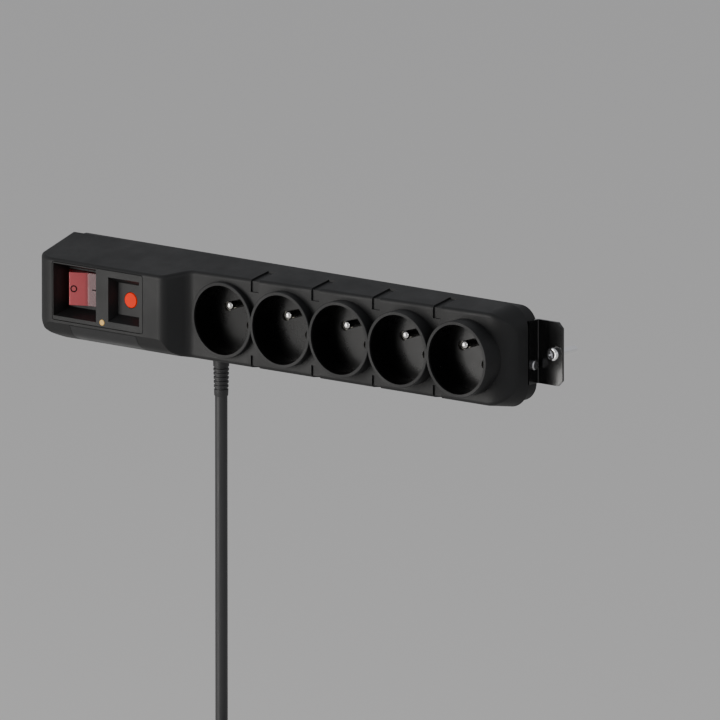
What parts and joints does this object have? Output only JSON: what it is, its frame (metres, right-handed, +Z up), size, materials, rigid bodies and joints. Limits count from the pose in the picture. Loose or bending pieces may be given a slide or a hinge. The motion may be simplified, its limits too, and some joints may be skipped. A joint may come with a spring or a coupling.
{
  "type": "wall-mounted power strip",
  "caption": "Long black mains power strip on angle brackets, with round earth-pin sockets, a raised head holding a rocker switch and reset button, and a tied mains lead.",
  "frame": {"origin": "centre of the rear cover's back face on the wall plane, midway between the two wall screws and level with the sockets' centres", "axes": "+X along the strip from the switch head to the tail, +Y into the wall, +Z up"},
  "size_m": [0.3692, 0.0705, 0.4385],
  "materials": {
    "cover_black": "fine satin texture",
    "panel_black": "fine satin texture",
    "badge_black": "smooth satin, blank",
    "well_black": "polished",
    "inner_nylon": "plain moulded",
    "housing_black": "plain moulded",
    "earth_pin_nickel": "polished nickel plate",
    "contact_brass": "stamped strip",
    "rocker_red": "translucent, gloss, with two pale marks",
    "button_orange": "smooth semi-gloss",
    "lens_amber": "translucent",
    "lamp_glass": "clear glass",
    "board_green": "solder mask",
    "varistor_blue": "dipped epoxy",
    "wire_brown": "plain",
    "wire_blue": "plain",
    "wire_green": "plain",
    "wire_black": "plain",
    "bracket_black": "gloss enamel",
    "wall_screw_chrome": "bright plated",
    "steel_screw": "zinc plated",
    "cord_black": "satin sheath",
    "relief_black": "moulded",
    "tie_black": "woven strap",
    "plug_black": "moulded satin"
  },
  "bodies": {
    "strip": {"badge_plate": "badge_black", "bracket_left": "bracket_black", "bracket_right": "bracket_black", "bracket_screws": "steel_screw", "breaker_body": "housing_black", "breaker_terminals": "contact_brass", "clamp_screws": "steel_screw", "control_panel": "panel_black", "cord": "cord_black", "cord_clamp": "inner_nylon", "cord_coil": "cord_black", "cord_tail": "cord_black", "cord_ties": "tie_black", "cover_screws": "steel_screw", "earth_pin_1": "earth_pin_nickel", "earth_pin_2": "earth_pin_nickel", "earth_pin_3": "earth_pin_nickel", "earth_pin_4": "earth_pin_nickel", "earth_pin_5": "earth_pin_nickel", "earth_rail": "contact_brass", "front_cover": "cover_black", "indicator_lamp": "lamp_glass", "indicator_lens": "lens_amber", "jumper_wires": "wire_black", "live_rail": "contact_brass", "neutral_rail": "contact_brass", "plug_body": "plug_black", "plug_earth_clips": "earth_pin_nickel", "plug_pins": "earth_pin_nickel", "rear_cover": "cover_black", "socket_insert_1": "well_black", "socket_insert_2": "well_black", "socket_insert_3": "well_black", "socket_insert_4": "well_black", "socket_insert_5": "well_black", "strain_relief": "relief_black", "surge_board": "board_green", "surge_varistors": "varistor_blue", "switch_housing": "housing_black", "switch_lamp": "lamp_glass", "switch_terminals": "contact_brass", "wall_screws": "wall_screw_chrome", "wire_earth": "wire_green", "wire_live": "wire_brown", "wire_neutral": "wire_blue"},
    "rocker": {"switch_rocker": "rocker_red"},
    "reset": {"reset_button": "button_orange"},
    "shutter_1_slider": {"shutter_1": "inner_nylon"},
    "shutter_2_slider": {"shutter_2": "inner_nylon"},
    "shutter_3_slider": {"shutter_3": "inner_nylon"},
    "shutter_4_slider": {"shutter_4": "inner_nylon"},
    "shutter_5_slider": {"shutter_5": "inner_nylon"}
  },
  "joints": [
    {"name": "rocker_tilt", "type": "hinge", "parent": "strip", "child": "rocker", "pos_m": [-0.1307, -0.0349, 0.0059], "axis": [0, 0, 1], "range_deg": [-33, 0]},
    {"name": "reset_travel", "type": "slide", "parent": "strip", "child": "reset", "axis": [0, -1, 0], "range_m": [0, 0.003]},
    {"name": "shutter_1_travel", "type": "slide", "parent": "strip", "child": "shutter_1_slider", "axis": [0.8829, 0, -0.4695], "range_m": [0, 0.0065], "stiffness_N_per_m": 60, "springref_m": -0.002},
    {"name": "shutter_2_travel", "type": "slide", "parent": "strip", "child": "shutter_2_slider", "axis": [0.8829, 0, -0.4695], "range_m": [0, 0.0065], "stiffness_N_per_m": 60, "springref_m": -0.002},
    {"name": "shutter_3_travel", "type": "slide", "parent": "strip", "child": "shutter_3_slider", "axis": [0.8829, 0, -0.4695], "range_m": [0, 0.0065], "stiffness_N_per_m": 60, "springref_m": -0.002},
    {"name": "shutter_4_travel", "type": "slide", "parent": "strip", "child": "shutter_4_slider", "axis": [0.8829, 0, -0.4695], "range_m": [0, 0.0065], "stiffness_N_per_m": 60, "springref_m": -0.002},
    {"name": "shutter_5_travel", "type": "slide", "parent": "strip", "child": "shutter_5_slider", "axis": [0.8829, 0, -0.4695], "range_m": [0, 0.0065], "stiffness_N_per_m": 60, "springref_m": -0.002}
  ]
}
